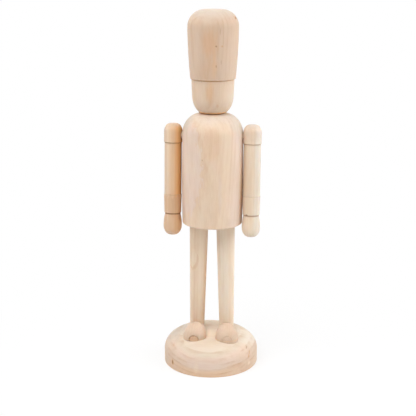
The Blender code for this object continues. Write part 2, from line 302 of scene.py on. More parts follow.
def head_outline():
    """Head from a scored line under the hat's edge down the round jaw to the flat chin."""
    jaw_radius = HEAD_RADIUS - HEAD_TAPER
    chin_angle = math.degrees(math.asin(HEAD_JAW_LEVEL / HEAD_JAW_DROP))
    line = [
        (HEAD_RADIUS - BRIM_LINE_DEPTH, HEAD_HEIGHT),
        (HEAD_RADIUS, HEAD_HEIGHT - BRIM_LINE_WIDTH),
    ]
    jaw = ellipse_arc(jaw_radius - HEAD_JAW_WIDTH, HEAD_JAW_LEVEL,
                      HEAD_JAW_WIDTH, HEAD_JAW_DROP, 0, -chin_angle)
    return line + jaw + [(0, 0)]


ARM_HAND_TOP = ARM_CAP_LENGTH + ARM_SLEEVE_LENGTH + ARM_CUFF_LENGTH + ARM_WRIST_WIDTH
ARM_KNUCKLE_DEPTH = ARM_HAND_TOP + ARM_HAND_LENGTH - ARM_HAND_TIP
ARM_HAND_RADIUS = ARM_RADIUS + ARM_HAND_STEP


def arm_outline():
    """The arm from the top of its cap to the tip of its hand, heights from the pivot."""
    cap_radius = ARM_RADIUS + ARM_CAP_STEP
    cuff_radius = ARM_RADIUS + ARM_CUFF_STEP
    wrist_radius = ARM_RADIUS - ARM_WRIST_DEPTH
    cuff_start = ARM_CAP_LENGTH + ARM_SLEEVE_LENGTH
    cuff_end = cuff_start + ARM_CUFF_LENGTH
    wrist = (wrist_radius, -ARM_HAND_TOP)
    shoulder_of_hand = (ARM_HAND_RADIUS, -(ARM_HAND_TOP + ARM_KNUCKLE_DEPTH) / 2)
    knuckle = (ARM_HAND_RADIUS, -ARM_KNUCKLE_DEPTH)
    outline = [(0, 0)]
    outline += ellipse_arc(ARM_CAP_FLAT_RADIUS, -ARM_CAP_DOME,
                           cap_radius - ARM_CAP_FLAT_RADIUS, ARM_CAP_DOME, 90, 0)
    outline += [
        (cap_radius, -ARM_CAP_LENGTH),
        (ARM_RADIUS - ARM_LINE_DEPTH, -ARM_CAP_LENGTH),
        (ARM_RADIUS, -ARM_CAP_LENGTH - ARM_LINE_WIDTH),
        (ARM_RADIUS, -cuff_start + ARM_LINE_WIDTH),
        (ARM_RADIUS - CUFF_LINE_DEPTH, -cuff_start),
        (cuff_radius, -cuff_start),
        (cuff_radius - ARM_CUFF_TAPER, -cuff_end),
        (wrist_radius, -cuff_end),
    ]
    outline += corner_round(wrist, shoulder_of_hand, knuckle)
    outline += ellipse_arc(ARM_HAND_FLAT_RADIUS, -ARM_KNUCKLE_DEPTH,
                           ARM_HAND_RADIUS - ARM_HAND_FLAT_RADIUS, ARM_HAND_TIP, 0, -90)[1:]
    outline.append((0, -ARM_HAND_TOP - ARM_HAND_LENGTH))
    return [(radius, height + ARM_PIVOT_DEPTH) for radius, height in outline]


def foot_outline(ring_depth):
    """Half the outline of the egg as (radius, reach), reach measured forward from the leg's axis."""
    heel_angle = math.degrees(math.acos((FOOT_BALL_REACH - FOOT_HEEL_REACH) / FOOT_HEEL_LENGTH))
    ring_outer = math.degrees(math.acos(FOOT_RING_RADIUS / FOOT_RADIUS))
    ring_inner = math.degrees(math.acos((FOOT_RING_RADIUS - FOOT_RING_WIDTH) / FOOT_RADIUS))
    heel_side = ellipse_arc(0, FOOT_BALL_REACH, FOOT_RADIUS, FOOT_HEEL_LENGTH, heel_angle - 90, 0)
    toe_side = ellipse_arc(0, FOOT_BALL_REACH, FOOT_RADIUS, FOOT_TOE_LENGTH, 0, ring_outer)
    nose = ellipse_arc(0, FOOT_BALL_REACH, FOOT_RADIUS, FOOT_TOE_LENGTH, ring_inner, 90, NOSE_STEPS)
    ring_floor = (FOOT_RING_RADIUS - FOOT_RING_WIDTH / 2, toe_side[-1][1] - ring_depth)
    return [(0, FOOT_HEEL_REACH)] + heel_side + toe_side[1:] + [ring_floor] + nose


def turned(name, outline, segments):
    """Turn an outline about Z into a closed mesh; the outline starts and ends on the axis."""
    angles = [2 * math.pi * i / segments for i in range(segments)]
    turns = [(math.cos(a), math.sin(a)) for a in angles]
    verts = [(0, 0, outline[0][1])]
    for radius, height in outline[1:-1]:
        verts += [(radius * c, radius * s, height) for c, s in turns]
    verts.append((0, 0, outline[-1][1]))
    faces = []
    last_ring = 1 + (len(outline) - 3) * segments
    for i in range(segments):
        j = (i + 1) % segments
        faces.append((0, 1 + i, 1 + j))
        for ring in range(1, last_ring, segments):
            faces.append((ring + i, ring + segments + i, ring + segments + j, ring + j))
        faces.append((last_ring + j, last_ring + i, len(verts) - 1))
    return new_piece(name, verts, faces)


def half_turned(name, outline, segments):
    """Turn an outline of (radius, reach) half round the -Y axis and close the sawn face below it."""
    angles = [math.pi * i / segments for i in range(segments + 1)]
    rows = []
    verts = [(0, -outline[0][1], 0)]
    for radius, reach in outline[1:-1]:
        rows.append(range(len(verts), len(verts) + segments + 1))
        verts += [(radius * math.cos(a), -reach, radius * math.sin(a)) for a in angles]
    verts.append((0, -outline[-1][1], 0))
    last = len(verts) - 1
    faces = []
    for i in range(segments):
        faces.append((0, rows[0][i], rows[0][i + 1]))
        faces += [(a[i + 1], a[i], b[i], b[i + 1]) for a, b in zip(rows, rows[1:])]
        faces.append((rows[-1][i + 1], rows[-1][i], last))
    sole = [row[0] for row in rows] + [last] + [row[segments] for row in reversed(rows)] + [0]
    faces.append(tuple(sole))
    return new_piece(name, verts, faces)


def new_piece(name, verts, faces):
    mesh = bpy.data.meshes.new(name)
    mesh.from_pydata(verts, [], faces)
    source = bmesh.new()
    source.from_mesh(mesh)
    bmesh.ops.recalc_face_normals(source, faces=source.faces)
    source.to_mesh(mesh)
    source.free()
    piece = bpy.data.objects.new(name, mesh)
    bpy.context.collection.objects.link(piece)
    return piece


def sanded(piece, seed):
    """Give a turning the slight unevenness of hand sanding."""
    start = Vector((seed, 2 * seed, 3 * seed))
    normals = [vert.normal.copy() for vert in piece.data.vertices]
    for vert, normal in zip(piece.data.vertices, normals):
        vert.co += normal * SANDING_DEPTH * noise.noise(vert.co / SANDING_SPAN + start)


def hollowed(piece, cutters):
    """Cut the holes for dowels and legs, then throw the cutters away."""
    bpy.context.view_layer.update()
    for cutter in cutters:
        boolean = piece.modifiers.new(cutter.name, 'BOOLEAN')
        boolean.operation = 'DIFFERENCE'
        boolean.solver = 'MANIFOLD'
        boolean.object = cutter
    shaped = piece.evaluated_get(bpy.context.evaluated_depsgraph_get())
    mesh = bpy.data.meshes.new_from_object(shaped)
    piece.modifiers.clear()
    piece.data = mesh
    for cutter in cutters:
        bpy.data.objects.remove(cutter, do_unlink=True)


def finished(piece, node, body, material):
    """Shade a piece, give it its wood and let it stand for its node."""
    piece.data.shade_smooth()
    piece.data.set_sharp_from_angle(angle=SMOOTH_ANGLE)
    piece.data.materials.clear()
    piece.data.materials.append(material)
    bpy.context.view_layer.update()
    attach(piece, body)
    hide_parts(node)


def hole(name, radius, low, high, placement):
    """A cutter for the bore round a dowel, along the Z axis of its placement."""
    bore = radius + PIN_CLEARANCE
    low -= PIN_CLEARANCE
    high += PIN_CLEARANCE
    cutter = turned(name, [(0, high), (bore, high), (bore, low), (0, low)], HOLE_SEGMENTS)
    cutter.matrix_world = placement
    return cutter


# Wood. Lengths in the materials are in millimetres along the piece's own axes.

# Linear colours of the bare wood, also used for the painted shade and light on it, from the palest to the
# darkest
PALE = (0.870, 0.745, 0.605)
CREAM = (0.855, 0.705, 0.550)
PEARL = (0.745, 0.630, 0.510)
IVORY = (0.790, 0.700, 0.595)
SAND = (0.815, 0.640, 0.485)
ROSE = (0.790, 0.630, 0.525)
APRICOT = (0.800, 0.590, 0.425)
HONEY = (0.790, 0.545, 0.350)
BEIGE = (0.690, 0.525, 0.400)
DUST = (0.690, 0.590, 0.495)
ASH = (0.590, 0.510, 0.430)
TAN = (0.700, 0.460, 0.300)
AMBER = (0.740, 0.485, 0.300)
ORANGE = (0.860, 0.490, 0.220)
RUST = (0.620, 0.330, 0.120)
BROWN = (0.330, 0.150, 0.060)
BURNT = (0.200, 0.080, 0.030)
LATE_WOOD_TINT = (0.80, 0.68, 0.56)

# How far the features of the grain reach across and along it
SLOW_WANDER_SPAN = (14, 14, 75)
QUICK_WANDER_SPAN = (3.5, 3.5, 26)
VIGOUR_SPAN = (4, 4, 60)
CLOUD_SPAN = (5, 5, 22)
FIBRE_SPAN = (0.55, 0.55, 14)
FINE_FIBRE_SPAN = (0.16, 0.16, 5)
PORE_SPAN = (0.22, 0.22, 1.6)
MARK_EDGE_SPAN = (1.2, 1.2, 4.0)
TOOL_LINE_SPAN = (60, 60, 0.3)
NOISE_ROUGHNESS = 0.55

# How strongly they show
QUICK_WANDER_SHARE = 0.3
MARK_EDGE_REACH = 0.3
END_GRAIN_AND_SHEEN_SHARE = 0.9
CLOUD_DEPTH = 0.25
FINE_FIBRE_SHARE = 0.6
PORE_DEPTH = 0.12
TOOL_LINE_SHARE = 0.35
BUMP_STRENGTH = 0.35
BUMP_DEPTH = 0.04 * MM

# Sheen of the bare surface, and the light that soaks a little way into it
SMOOTHEST = 0.50
ROUGHEST = 0.62
WOOD_SHINE = 0.3
GLOW_SHARE = 0.18
GLOW_REACH = (1.2, 0.5, 0.2)

# A spot, a stripe or a patch of painted shade or light: its middle and half sizes, how much of its
# colour it takes at most, and the share of its size that is fully coloured before the edge fades
Mark = namedtuple("Mark", "middle size colour strength core", defaults=(0.7, 0.35))

# A half size that reaches right through any piece
THROUGH = 999


def add(tree, kind, inputs=None, **settings):
    """Add a shader node; an input is either a constant or another node's socket."""
    node = tree.nodes.new("ShaderNode" + kind)
    for name, value in settings.items():
        setattr(node, name, value)
    for key, value in (inputs or {}).items():
        if isinstance(value, bpy.types.NodeSocket):
            tree.links.new(value, node.inputs[key])
        else:
            node.inputs[key].default_value = value
    return node


def maths(tree, operation, *values):
    return add(tree, "Math", dict(enumerate(values)), operation=operation).outputs[0]


def vector(tree, operation, *values):
    node = add(tree, "VectorMath", dict(enumerate(values)), operation=operation)
    return node.outputs["Value" if operation in ('LENGTH', 'DOT_PRODUCT') else "Vector"]


def rotated(tree, value, angles):
    inputs = {"Vector": value, "Rotation": angles}
    return add(tree, "VectorRotate", inputs, rotation_type='EULER_XYZ').outputs[0]


def grain_noise(tree, place, spans, seed, detail=3.0):
    """Noise whose features are about as long along each axis as the spans, from 0 to 1."""
    scale = tuple(1 / span for span in spans)
    stretched = vector(tree, 'MULTIPLY_ADD', place, scale, (seed, 1.7 * seed, 2.3 * seed))
    noise_inputs = {"Vector": stretched, "Scale": 1.0, "Detail": detail,
                    "Roughness": NOISE_ROUGHNESS}
    return add(tree, "TexNoise", noise_inputs).outputs["Fac"]


def swing(tree, value, reach):
    """Turn a value from 0 to 1 into one from -reach to reach."""
    return maths(tree, 'MULTIPLY_ADD', value, 2 * reach, -reach)


def step_up(tree, value, low, high, top=1.0):
    """Rise smoothly from 0 at low to top at high."""
    inputs = {"Value": value, "From Min": low, "From Max": high, "To Min": 0.0, "To Max": top}
    return add(tree, "MapRange", inputs, interpolation_type='SMOOTHSTEP').outputs[0]


def mixed(tree, share, first, second, blend='MIX'):
    """Mix two colours; constants are given as three numbers."""
    first, second = (c if isinstance(c, bpy.types.NodeSocket) else (*c, 1.0) for c in (first, second))
    node = add(tree, "Mix", {0: share, 6: first, 7: second}, data_type='RGBA', blend_type=blend)
    return node.outputs[2]


def ramp(tree, value, bands):
    """Colours along a value, from bands of (value, colour) in rising order."""
    low, high = bands[0][0], bands[-1][0]
    share = add(tree, "MapRange", {"Value": value, "From Min": low, "From Max": high}).outputs[0]
    node = add(tree, "ValToRGB", {"Fac": share})
    elements = node.color_ramp.elements
    for index, (position, colour) in enumerate(bands):
        place = (position - low) / (high - low)
        element = elements[index] if index < 2 else elements.new(place)
        element.position = place
        element.color = (*colour, 1.0)
    return node.outputs["Color"]


def growth(tree, grain, seed, pith, wander):
    """Distance from the pith, wandering along the grain."""
    slow = swing(tree, grain_noise(tree, grain, SLOW_WANDER_SPAN, seed, 2.0), wander)
    quick = grain_noise(tree, grain, QUICK_WANDER_SPAN, seed + 3, 2.0)
    quick = swing(tree, quick, QUICK_WANDER_SHARE * wander)
    across = vector(tree, 'MULTIPLY', vector(tree, 'SUBTRACT', grain, (*pith, 0)), (1, 1, 0))
    return maths(tree, 'ADD', maths(tree, 'ADD', vector(tree, 'LENGTH', across), slow), quick)


def late_wood(tree, grain, seed, distance, ring_width):
    """Darker wood at the end of each year's growth, stronger in some years than in others."""
    year = maths(tree, 'FRACT', maths(tree, 'DIVIDE', distance, ring_width))
    late = maths(tree, 'SUBTRACT', step_up(tree, year, 0.35, 0.9), step_up(tree, year, 0.93, 1.0))
    vigour = step_up(tree, grain_noise(tree, grain, VIGOUR_SPAN, seed + 5, 2.0), 0.35, 0.7)
    return maths(tree, 'MULTIPLY', late, vigour)


def end_grain(tree, angles):
    """1 where the surface cuts across the fibres, 0 where it runs along them."""
    normal = add(tree, "NewGeometry").outputs["Normal"]
    facing = add(tree, "VectorTransform", {"Vector": normal}, vector_type='NORMAL',
                 convert_from='WORLD', convert_to='OBJECT').outputs[0]
    along = vector(tree, 'DOT_PRODUCT', rotated(tree, facing, angles), (0, 0, 1))
    return maths(tree, 'ABSOLUTE', along)


def wood(name, seed, bands, pith, tilt=(0, 0, 0), end=ASH, marks=(), ring_width=1.7, ring_depth=0.30,
         fibre_depth=0.16, wander=0.8):
    """Bare sanded wood with its grain along Z, or along where tilt turns Z.

    bands: (distance from the pith, colour) in rising order; pith: middle of the growth rings;
    end: colour where the surface cuts across the fibres, the end grain's tone and on tops a painted
    sheen;
    marks: spots and stripes, among them painted shade and light, the later ones over the earlier.
    """
    material = bpy.data.materials.new(name)
    material.use_nodes = True
    tree = material.node_tree
    shader = tree.nodes["Principled BSDF"]
    place = vector(tree, 'MULTIPLY', add(tree, "TexCoord").outputs["Object"], (1 / MM,) * 3)
    angles = tuple(math.radians(angle) for angle in tilt)
    grain = rotated(tree, place, angles)

    distance = growth(tree, grain, seed, pith, wander)
    colour = ramp(tree, distance, bands)
    # Across the fibres the end colour takes over: the end grain's own tone, and on the upward tops also a
    # painted sheen.
    colour = mixed(tree, step_up(tree, end_grain(tree, angles), 0.25, 1.0, END_GRAIN_AND_SHEEN_SHARE), colour, end)

    edge = swing(tree, grain_noise(tree, place, MARK_EDGE_SPAN, seed + 13), MARK_EDGE_REACH)
    for mark in marks:
        off = vector(tree, 'DIVIDE', vector(tree, 'SUBTRACT', place, mark.middle), mark.size)
        away = maths(tree, 'ADD', vector(tree, 'LENGTH', off), edge)
        outside = step_up(tree, away, mark.core, 1.0, mark.strength)
        colour = mixed(tree, maths(tree, 'SUBTRACT', mark.strength, outside), colour, mark.colour)

    # Year rings, soft clouds, fibres, and short dark pores among them
    cloud = grain_noise(tree, grain, CLOUD_SPAN, seed + 17)
    fibre = grain_noise(tree, grain, FIBRE_SPAN, seed + 7, 4.0)
    fine = grain_noise(tree, grain, FINE_FIBRE_SPAN, seed + 9, 2.0)
    pores = step_up(tree, grain_noise(tree, grain, PORE_SPAN, seed + 11, 1.0), 0.66, 0.78)
    depth = maths(tree, 'MULTIPLY', late_wood(tree, grain, seed, distance, ring_width), ring_depth)
    depth = maths(tree, 'MULTIPLY_ADD', step_up(tree, cloud, 0.40, 0.75), CLOUD_DEPTH, depth)
    depth = maths(tree, 'MULTIPLY_ADD', step_up(tree, fibre, 0.35, 0.75), fibre_depth, depth)
    fine_depth = FINE_FIBRE_SHARE * fibre_depth
    depth = maths(tree, 'MULTIPLY_ADD', step_up(tree, fine, 0.4, 0.8), fine_depth, depth)
    depth = maths(tree, 'MULTIPLY_ADD', pores, PORE_DEPTH, depth)
    colour = mixed(tree, depth, colour, mixed(tree, 1.0, colour, LATE_WOOD_TINT, 'MULTIPLY'))
    tree.links.new(colour, shader.inputs["Base Color"])

    sheen = {"Value": fibre, "From Min": 0.3, "From Max": 0.7, "To Min": SMOOTHEST, "To Max": ROUGHEST}
    tree.links.new(add(tree, "MapRange", sheen).outputs[0], shader.inputs["Roughness"])
    shader.inputs["Specular IOR Level"].default_value = WOOD_SHINE
    shader.inputs["Subsurface Weight"].default_value = GLOW_SHARE
    shader.inputs["Subsurface Radius"].default_value = GLOW_REACH
    shader.inputs["Subsurface Scale"].default_value = MM

    # Fine tool lines round the turning and the fibres' own relief
    tool = grain_noise(tree, place, TOOL_LINE_SPAN, seed + 15, 2.0)
    height = maths(tree, 'MULTIPLY_ADD', fine, FINE_FIBRE_SHARE, fibre)
    height = maths(tree, 'MULTIPLY_ADD', tool, TOOL_LINE_SHARE, height)
    height = maths(tree, 'SUBTRACT', height, pores)
    relief = {"Strength": BUMP_STRENGTH, "Distance": BUMP_DEPTH, "Height": height}
    bump = add(tree, "Bump", relief)
    tree.links.new(bump.outputs[0], shader.inputs["Normal"])
    return material


def line_mark(level, width, strength, colour=RUST):
    """A line that runs round a turning at one height."""
    return Mark((0, 0, level / MM), (THROUGH, THROUGH, width / MM), colour, strength, 0.2)


def build_base():
    size = box_size("base")
    piece = turned("fine_base", refined(softened(base_outline(size.x / 2, size.z))), LARGE_SEGMENTS)
    sanded(piece, 1)
    cutters = []
    for side in (-1, 1):
        leg = leg_placement(side)
        cutters.append(hole(f"ankle_hole_{side}", LEG_PIN_RADIUS, -LEG_PIN_DEPTH, LEG_PIN_DEPTH, leg))
    hollowed(piece, cutters)
    bands = [(64, APRICOT), (67.5, APRICOT), (69, ROSE), (73.5, ROSE), (75, PEARL), (78, PEARL)]
    marks = [
        Mark((14.5, -20.0, 5.2), (5.5, 9.0, 1.3), TAN, 0.35, 0.75),
        Mark((-5.0, -24.5, 5.0), (1.8, 3.0, 4.0), CREAM, 0.5),
        # Painted shade: the left of the base's top and upper side is made darker.
        Mark((-20.0, 3.0, 15.0), (11.0, 18.0, 7.0), ASH, 0.9, 0.2),
        Mark((20.0, 0, 15.0), (11.0, 18.0, 7.0), IVORY, 0.9, 0.3),
        # Painted light: the top just in front of the feet is made paler where the feet shade it.
        Mark((0, -5.0, 16.0), (5.0, 9.0, 3.0), CREAM, 0.9, 0.2),
        Mark((-2.6, 8.0, 16.0), (4.0, 2.5, 3.0), BEIGE, 0.5),
        Mark((-18.4, -16.9, 4.2), (1.0, 2.0, 2.3), RUST, 0.7),
        Mark((-18.4, -16.9, 4.2), (0.5, 2.0, 1.6), BROWN, 0.8),
        Mark((-18.2, -13.6, 12.6), (0.5, 2.0, 1.4), TAN, 0.55),
        Mark((20.0, -11.5, 12.3), (0.55, 2.0, 1.1), BROWN, 0.5),
        Mark((21.5, -11.8, 9.6), (0.45, 2.0, 1.6), RUST, 0.55),
        Mark((21.3, -12.7, 8.0), (0.4, 2.0, 1.6), RUST, 0.6),
        Mark((21.4, -12.7, 4.3), (0.7, 2.0, 1.8), CREAM, 0.6),
        # Painted contact shade: a warm orange line along the base's bottom edge.
        line_mark(0, 0.9 * MM, 0.6, ORANGE),
    ]
    material = wood("base_grain", 2.0, bands, (-60, 0), tilt=(0, 90, 0), end=BEIGE, marks=marks,
                    ring_width=2.3, ring_depth=0.55)
    finished(piece, "base", "figure", material)


def leg_placement(side):
    """Where a leg stands: its axis from the base's top, leaning in towards the hip."""
    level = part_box("base")[1].z + SEAT_GAP
    splay = math.asin((ANKLE_SPREAD - HIP_SPREAD) / LEG_LENGTH)
    ankle = Vector((side * ANKLE_SPREAD, box_middle("torso").y, level))
    return Matrix.Translation(ankle) @ Matrix.Rotation(-side * splay, 4, 'Y')


def build_leg(side_name, side, material):
    outline = bored(leg_outline(), LEG_PIN_RADIUS + PIN_CLEARANCE, LEG_PIN_DEPTH + PIN_CLEARANCE,
                    top=True, bottom=True)
    piece = turned(side_name + "_fine_leg", refined(softened(outline)), SMALL_SEGMENTS)
    sanded(piece, 3 + side)
    piece.matrix_world = leg_placement(side)
    finished(piece, side_name + "_leg", "figure", material)


def base_drop(place, flat_radius):
    """How far the base's rounded edge lies below its flat top at a place."""
    past = math.hypot(place.x, place.y) - flat_radius
    share = min(max(past, 0) / BASE_EDGE_WIDTH, 1)
    return BASE_EDGE_DROP * (1 - math.sqrt(1 - share ** 2))


def build_foot(side_name, side, turn, ring_depth, material):
    outline = refined(softened(foot_outline(ring_depth), FOOT_EDGE_SOFTNESS), FOOT_OUTLINE_STEP)
    piece = half_turned(side_name + "_fine_foot", outline, SMALL_SEGMENTS)
    ankle = leg_placement(side)
    piece.matrix_world = Matrix.Translation(ankle.translation) @ Matrix.Rotation(side * turn, 4, 'Z')
    flat_radius = box_size("base").x / 2 - BASE_EDGE_WIDTH
    for vert in piece.data.vertices:
        if vert.co.z < FOOT_SOLE_LEVEL:
            drop = base_drop(piece.matrix_world @ vert.co, flat_radius)
            vert.co.z = -SEAT_GAP - drop - FOOT_SOLE_SINK
    notch = turned(side_name + "_notch", leg_outline(SEAT_GAP, FOOT_NOTCH_BELOW), SMALL_SEGMENTS)
    notch.matrix_world = ankle
    hollowed(piece, [notch])
    finished(piece, side_name + "_foot", "figure", material)


def foot_wood(side_name, seed, ring_strength, nose_colour):
    """Wood of a foot, with the scored ring on its toe and a line of painted contact shade along its sole.
    """
    toe = (0, -(FOOT_BALL_REACH + FOOT_TOE_LENGTH) / MM, 0)
    ring = FOOT_RING_RADIUS / MM
    marks = [
        Mark(toe, (ring + 0.35, 1.5, ring + 0.35), BROWN, ring_strength, 0.8),
        Mark(toe, (ring - 0.2, 1.5, ring - 0.2), nose_colour, 1.0, 0.8),
        # Painted contact shade: a warm honey line along the foot's sole.
        line_mark(0, 0.6 * MM, 0.5, HONEY),
    ]
    bands = [(30, BEIGE), (50, BEIGE)]
    return wood(side_name + "_foot_grain", seed, bands, (-40, -10), tilt=(90, 0, 0), end=BEIGE,
                marks=marks, ring_width=1.4, ring_depth=0.2)


def build_legs_and_feet():
    right_bands = [(36, CREAM), (39, SAND), (42, CREAM), (45, SAND)]
    knot_and_painted_shade = [
        Mark((-2.6, -4.0, 39.0), (3.4, 4.0, 6.0), TAN, 0.4, 0.85),
        Mark((-3.4, -4.0, 40.2), (3.4, 4.0, 6.0), CREAM, 0.9, 0.8),
        # Painted shade: an orange stripe on the flank that faces the other leg.
        Mark((4.8, 0, 25.0), (2.6, 6.0, 36.0), ORANGE, 0.5, 0.1),
    ]
    right_leg = wood("right_leg_grain", 5.0, right_bands, (-40, -6), marks=knot_and_painted_shade)
    left_bands = [(36, PALE), (41, PALE), (42.5, CREAM), (45, PALE)]
    left_leg = wood("left_leg_grain", 6.0, left_bands, (-40, -6))
    build_leg("right", -1, right_leg)
    build_leg("left", 1, left_leg)
    right_foot = foot_wood("right", 7.0, 0.8, TAN)
    left_foot = foot_wood("left", 8.0, 0.15, BEIGE)
    build_foot("right", -1, RIGHT_FOOT_TURN, RIGHT_FOOT_RING_DEPTH, right_foot)
    build_foot("left", 1, LEFT_FOOT_TURN, LEFT_FOOT_RING_DEPTH, left_foot)


def build_torso():
    low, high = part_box("torso")
    size = high - low
    neck = box_size("neck_dowel")
    outline = torso_outline(size.z)
    outline = bored(outline, neck.x / 2 + PIN_CLEARANCE, neck.z / 2 + PIN_CLEARANCE - SEAT_GAP, top=True)
    piece = turned("fine_torso", refined(softened(outline)), LARGE_SEGMENTS)
    sanded(piece, 5)
    middle = box_middle("torso")
    piece.matrix_world = Matrix.Translation((middle.x, middle.y, low.z))
    cutters = []
    for side_name, side in (("right", -1), ("left", 1)):
        leg = leg_placement(side)
        cutters.append(hole(side_name + "_hip_hole", LEG_PIN_RADIUS, LEG_LENGTH - LEG_PIN_DEPTH,
                            LEG_LENGTH + LEG_PIN_DEPTH, leg))
        cutters.append(shoulder_hole(side_name))
    hollowed(piece, cutters)
    bands = [(50, SAND), (62, SAND), (68, ROSE), (80, ROSE)]
    marks = [
        Mark((1.0, -15.5, 44.0), (5.5, 4.0, 10.5), APRICOT, 0.9, 0.6),
        Mark((-19.0, -15.0, 33.0), (20.0, 25.0, 34.0), TAN, 0.45, 0.7),
        Mark((-20.0, -15.0, 31.0), (16.8, 25.0, 32.0), ROSE, 1.0, 0.93),
        Mark((-13.0, 0, 53.0), (8.0, 14.0, 9.0), ASH, 1.0, 0.3),
        Mark((13.0, 0, 53.0), (9.0, 14.0, 9.0), DUST, 1.0, 0.4),
        Mark((0, -9.0, 55.5), (10.0, 7.0, 4.5), DUST, 0.3, 0.2),
        Mark((-3.6, -15.0, 36.1), (0.5, 2.0, 0.5), BROWN, 0.35),
        Mark((-3.4, -15.0, 33.5), (0.5, 2.0, 0.5), CREAM, 0.7),
        Mark((5.4, -14.5, 18.0), (1.2, 3.0, 16.0), ROSE, 0.6),
        # Painted shade where the arms stand close: warm, darker stripes down both flanks of the torso.
        Mark((15.7, 0, 20.0), (2.8, 10.0, 30.0), HONEY, 0.8, 0.1),
        Mark((15.6, -3.0, 16.0), (2.8, 5.5, 26.0), AMBER, 0.7, 0.1),
        Mark((-15.7, 0, 18.0), (1.8, 10.0, 26.0), HONEY, 0.8, 0.1),
        Mark((16.2, -0.5, 28.0), (1.3, 3.6, 32.0), TAN, 0.9, 0.3),
        Mark((-16.0, -1.0, 25.0), (0.8, 3.4, 26.0), TAN, 0.8, 0.2),
        # A glue ring round the neck, and painted warm shade under the chin.
        Mark((0, 0, size.z / MM), (7.5, 7.5, 1.0), ORANGE, 0.8, 0.5),
    ]
    material = wood("torso_grain", 9.0, bands, (-28, -66), tilt=(4.9, 0, 0), end=DUST, marks=marks,
                    ring_width=2.4, ring_depth=0.22, wander=0.6)
    finished(piece, "torso", "figure", material)


def shoulder_hole(side_name):
    node = side_name + "_shoulder_dowel"
    size = box_size(node)
    placement = Matrix.Translation(box_middle(node)) @ Matrix.Rotation(math.pi / 2, 4, 'Y')
    return hole(node + "_hole", size.z / 2, -size.x / 2, size.x / 2, placement)


def build_head():
    low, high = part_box("head_and_hat")
    size = high - low
    neck = box_size("neck_dowel")
    outline = hat_outline(size.x / 2, size.z) + head_outline()
    outline = bored(outline, neck.x / 2 + PIN_CLEARANCE, neck.z / 2 + PIN_CLEARANCE, bottom=True)
    piece = turned("fine_head_and_hat", refined(softened(outline)), LARGE_SEGMENTS)
    sanded(piece, 7)
    middle = box_middle("head_and_hat")
    piece.matrix_world = Matrix.Translation((middle.x, middle.y, low.z))
    bands = [(50, BEIGE), (80, BEIGE)]
    marks = [
        Mark((0, 0, 7.0), (THROUGH, THROUGH, 10.3), SAND, 0.45, 0.98),
        Mark((11.0, -3.0, 9.0), (6.0, 9.0, 9.5), IVORY, 0.5, 0.2),
        Mark((-0.3, -12.8, 35.5), (6.4, 4.6, 11.5), TAN, 0.9, 0.25),
        Mark((-0.8, -12.0, 22.0), (6.0, 4.3, 10.0), TAN, 0.5, 0.2),
        Mark((1.9, -12.0, 25.0), (2.0, 3.4, 11.0), AMBER, 0.55, 0.1),
        Mark((-0.5, -10.9, 11.0), (3.1, 3.6, 9.0), AMBER, 0.75, 0.15),
        Mark((2.8, -12.5, 34.3), (0.6, 2.0, 0.6), BROWN, 0.6),
        Mark((5.7, -11.5, 34.3), (0.6, 2.0, 0.7), RUST, 0.45),
        Mark((2.8, -11.9, 24.5), (0.4, 2.0, 0.9), BROWN, 0.4),
        Mark((4.7, -12.2, 41.3), (0.25, 2.0, 2.4), BROWN, 0.35),
        Mark((5.2, -11.2, 26.5), (0.3, 2.0, 1.6), BROWN, 0.25),
        Mark((11.4, -2.8, 47.8), (1.3, 2.6, 1.8), TAN, 0.6, 0.2),
        Mark((11.5, -2.6, 47.7), (0.7, 1.8, 1.1), BROWN, 0.75),
        Mark((3.3, -9.7, 4.5), (0.9, 2.0, 1.4), TAN, 0.6),
        line_mark(HEAD_HEIGHT - 0.3 * BRIM_LINE_WIDTH, BRIM_LINE_WIDTH, 0.6),
        # A glue ring under the chin, and painted warm light on the chin's shaded underside.
        line_mark(0, 1.4 * MM, 0.9, ORANGE),
    ]
    material = wood("head_grain", 11.0, bands, (-28, -62), marks=marks,
                    ring_width=2.2, ring_depth=0.25, wander=0.5)
    finished(piece, "head_and_hat", "figure", material)


def build_arm(side_name, side, material):
    joint = next(j for j in frame["joints"] if j["child"] == side_name + "_arm")
    pivot = Vector(joint["pos_m"])
    hand_reach = TORSO_HEM_RADIUS + HAND_GAP + ARM_HAND_RADIUS
    lean = side * math.asin((abs(pivot.x) - hand_reach) / (ARM_KNUCKLE_DEPTH - ARM_PIVOT_DEPTH))
    outline = refined(softened(arm_outline(), ARM_EDGE_SOFTNESS))
    piece = turned(side_name + "_fine_arm", outline, SMALL_SEGMENTS)
    sanded(piece, 11 + side)
    swung = Matrix.Rotation(-ARM_SWING, 4, 'X') @ Matrix.Rotation(lean, 4, 'Y')
    piece.matrix_world = Matrix.Translation(pivot) @ swung
    hollowed(piece, [shoulder_hole(side_name)])
    finished(piece, side_name + "_arm", side_name + "_arm", material)


def arm_lines(strength):
    """The scored lines at the cap, the cuff and the wrist."""
    cap = ARM_PIVOT_DEPTH - ARM_CAP_LENGTH
    cuff = cap - ARM_SLEEVE_LENGTH
    wrist = cuff - ARM_CUFF_LENGTH - ARM_WRIST_WIDTH / 2
    return [
        line_mark(cap - 0.3 * ARM_LINE_WIDTH, ARM_LINE_WIDTH, strength, BROWN),
        line_mark(cuff + 0.3 * ARM_LINE_WIDTH, ARM_LINE_WIDTH, 0.2 * strength, BROWN),
        line_mark(wrist, ARM_WRIST_WIDTH, strength, BROWN),
    ]


